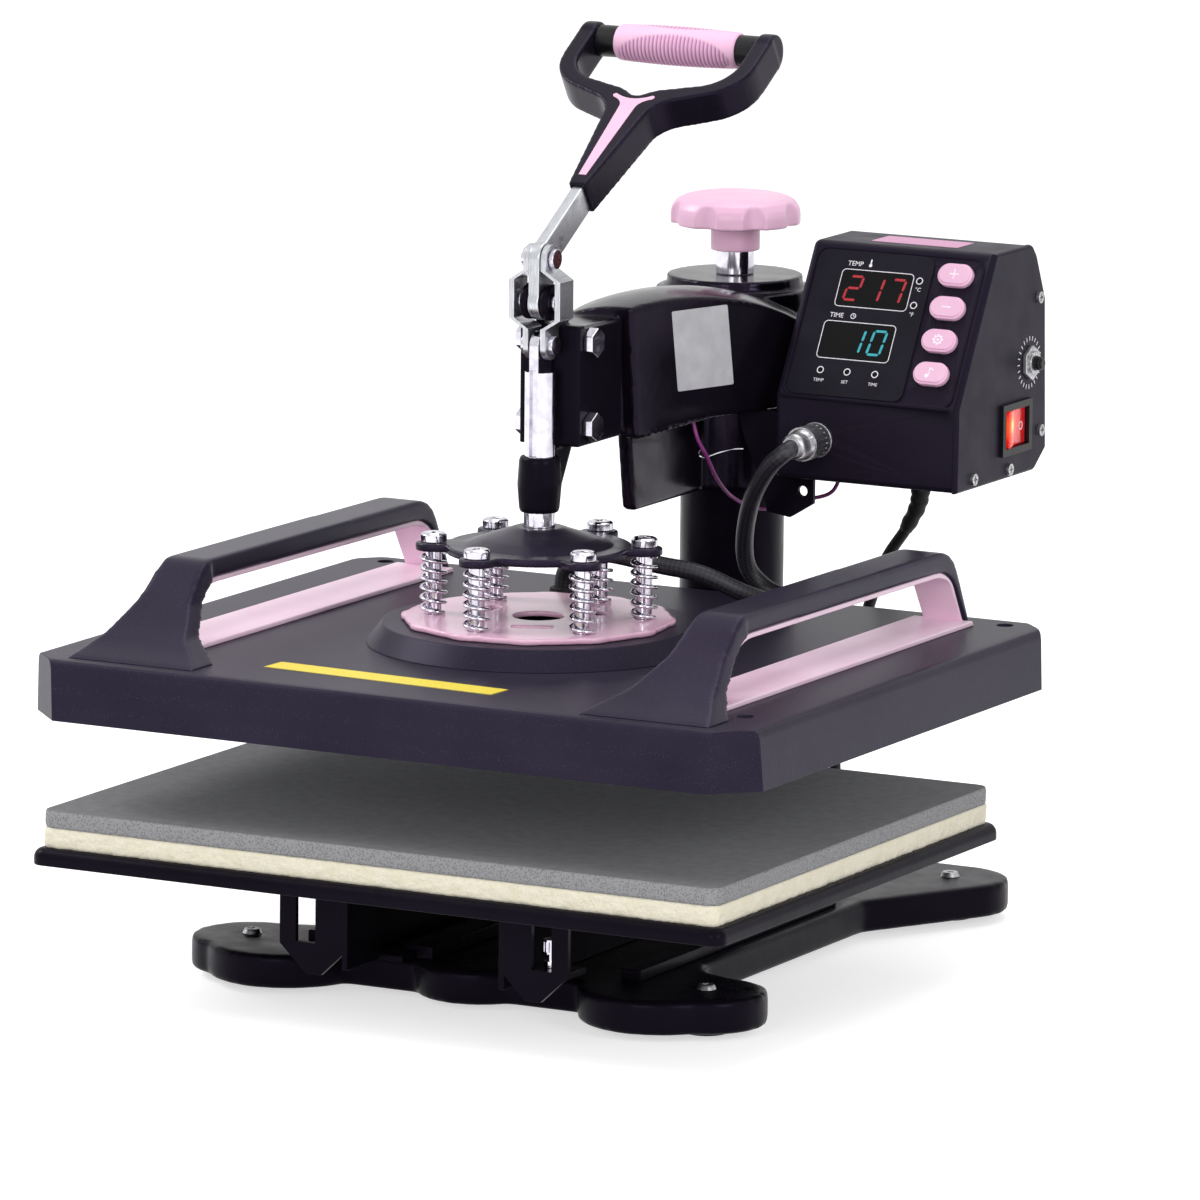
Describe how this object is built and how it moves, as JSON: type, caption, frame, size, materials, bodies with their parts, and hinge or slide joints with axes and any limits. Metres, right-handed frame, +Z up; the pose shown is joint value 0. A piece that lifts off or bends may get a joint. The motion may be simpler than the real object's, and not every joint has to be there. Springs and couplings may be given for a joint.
{
  "type": "heat press",
  "caption": "Swing-away heat press: a toggle lever drives a sprung heating platen with side handles down onto a padded platen, with a control box on its arm.",
  "frame": {"origin": "centre of the footprint on the floor, under the rubber feet", "axes": "+Z up, -Y towards the user at the front, +X to the user's right, where the control box is"},
  "size_m": [0.4, 0.6, 0.46],
  "materials": {
    "black_paint": "satin black enamel",
    "purple_paint": "satin dark purple-grey enamel",
    "purple_plastic": "fine-textured dark purple-grey plastic",
    "pink_plastic": "glossy pale pink plastic",
    "pink_rubber": "ribbed pale pink rubber",
    "pink_paint": "pale pink enamel",
    "bright_steel": "bright plated steel",
    "steel": "zinc-plated steel",
    "rubber_black": "matte black rubber",
    "black_plastic": "black plastic",
    "panel_film": "dark printed panel film",
    "felt_cream": "cream needled felt",
    "sponge_grey": "grey silicone sponge",
    "alloy": "cast aluminium",
    "board_green": "circuit board",
    "signal_red": "translucent red plastic",
    "lead_magenta": "magenta wire sleeve"
  },
  "bodies": {
    "base": {"base_casting": "black_paint", "rubber_feet": "rubber_black", "base_screws": "steel", "post": "black_paint", "guide_rails": "black_paint", "power_cord": "rubber_black", "power_coil": "rubber_black", "power_plug": "rubber_black"},
    "lower_platen": {"platen_stands": "black_paint", "lower_plate": "black_paint", "felt_pad": "felt_cream", "silicone_pad": "sponge_grey"},
    "lock_screw": {"thumb_screw": "bright_steel"},
    "turret": {"swivel_sleeve": "steel"},
    "arm": {"arm_casting": "black_paint", "clamp_bracket": "black_paint", "bracket_bolts": "bright_steel", "pivot_pin": "bright_steel", "box_bracket": "black_paint", "box_shell": "purple_paint", "box_side_cover": "purple_paint", "box_screws": "steel", "display_panel": "panel_film", "control_board": "board_green", "switch_frame": "black_plastic", "breaker_body": "steel", "connector_socket": "steel", "cord_gland": "rubber_black", "probe_lead": "lead_magenta", "heater_cable": "rubber_black"},
    "knob": {"pressure_knob": "pink_plastic", "pressure_screw": "bright_steel"},
    "plus": {"button_plus": "pink_plastic"},
    "minus": {"button_minus": "pink_plastic"},
    "set": {"button_set": "pink_plastic"},
    "sound": {"button_sound": "pink_plastic"},
    "rocker": {"power_rocker": "signal_red"},
    "reset": {"breaker_button": "black_plastic"},
    "coupling": {"coupling_ring": "bright_steel"},
    "lever": {"lever_bar": "bright_steel", "lever_pin": "bright_steel", "handle_frame": "purple_plastic", "handle_inlay": "pink_plastic", "handle_tube": "black_plastic", "grip_sleeve": "pink_rubber"},
    "links": {"link_plates": "bright_steel", "link_rivets": "bright_steel"},
    "plunger": {"plunger_rod": "bright_steel", "spider_plate": "purple_paint"},
    "platen": {"platen_cover": "purple_plastic", "cover_screws": "steel", "side_handles": "purple_plastic", "handle_inserts": "pink_plastic", "hub_collar": "purple_paint", "spring_plate": "pink_paint", "shoulder_bolts": "bright_steel", "pressure_springs": "bright_steel", "heating_plate": "alloy", "heating_element": "alloy", "cable_gland": "rubber_black"}
  },
  "joints": [
    {"name": "arm_swing", "type": "hinge", "parent": "base", "child": "turret", "pos_m": [0, 0.155, 0.3], "axis": [0, 0, 1], "range_deg": [-120, 120], "deforming": ["power_cord"]},
    {"name": "arm_height", "type": "slide", "parent": "turret", "child": "arm", "axis": [0, 0, 1], "range_m": [-0.001, 0.006], "deforming": ["power_cord"]},
    {"name": "knob_turn", "type": "hinge", "parent": "arm", "child": "knob", "pos_m": [0, 0.155, 0.34], "axis": [0, 0, 1], "range_deg": [-180, 1080]},
    {"name": "lever_turn", "type": "hinge", "parent": "arm", "child": "lever", "pos_m": [0, -0.051, 0.3395], "axis": [1, 0, 0], "range_deg": [0, 180]},
    {"name": "link_turn", "type": "hinge", "parent": "lever", "child": "links", "pos_m": [0, -0.051, 0.361], "axis": [1, 0, 0], "range_deg": [-180, 0]},
    {"name": "plunger_slide", "type": "slide", "parent": "arm", "child": "plunger", "axis": [0, 0, -1], "range_m": [0, 0.043], "deforming": ["heater_cable"]},
    {"name": "platen_float", "type": "slide", "parent": "plunger", "child": "platen", "axis": [0, 0, 1], "range_m": [0, 0.005], "stiffness_N_per_m": 20000, "springref_m": -0.004, "deforming": ["pressure_springs", "heater_cable"]},
    {"name": "platen_pull", "type": "slide", "parent": "base", "child": "lower_platen", "axis": [0, -1, 0], "range_m": [0, 0.13]},
    {"name": "lock_turn", "type": "hinge", "parent": "lower_platen", "child": "lock_screw", "pos_m": [0.0655, -0.155, 0.04], "axis": [0, 0, 1], "continuous": true},
    {"name": "rocker_tip", "type": "hinge", "parent": "arm", "child": "rocker", "pos_m": [0.161, 0.144, 0.264], "axis": [0, 0, -1], "range_deg": [0, 16]},
    {"name": "reset_press", "type": "slide", "parent": "arm", "child": "reset", "axis": [-1, 0, 0], "range_m": [0, 0.002], "stiffness_N_per_m": 500},
    {"name": "coupling_turn", "type": "hinge", "parent": "arm", "child": "coupling", "pos_m": [0.086, 0.07, 0.26], "axis": [0, -1, 0], "continuous": true},
    {"name": "plus_press", "type": "slide", "parent": "arm", "child": "plus", "axis": [0, 0.8719, -0.4897], "range_m": [0, 0.0015], "stiffness_N_per_m": 400},
    {"name": "minus_press", "type": "slide", "parent": "arm", "child": "minus", "axis": [0, 0.8719, -0.4897], "range_m": [0, 0.0015], "stiffness_N_per_m": 400},
    {"name": "set_press", "type": "slide", "parent": "arm", "child": "set", "axis": [0, 0.8719, -0.4897], "range_m": [0, 0.0015], "stiffness_N_per_m": 400},
    {"name": "sound_press", "type": "slide", "parent": "arm", "child": "sound", "axis": [0, 0.8719, -0.4897], "range_m": [0, 0.0015], "stiffness_N_per_m": 400}
  ],
  "couplings": [
    {"joint": "knob_turn", "follows": "arm_height", "rad_per_m": 3141.6},
    {"joint": "link_turn", "follows": "lever_turn", "ratio": -1},
    {"joint": "plunger_slide", "follows": "lever_turn", "m_per_rad": 0.013687}
  ]
}
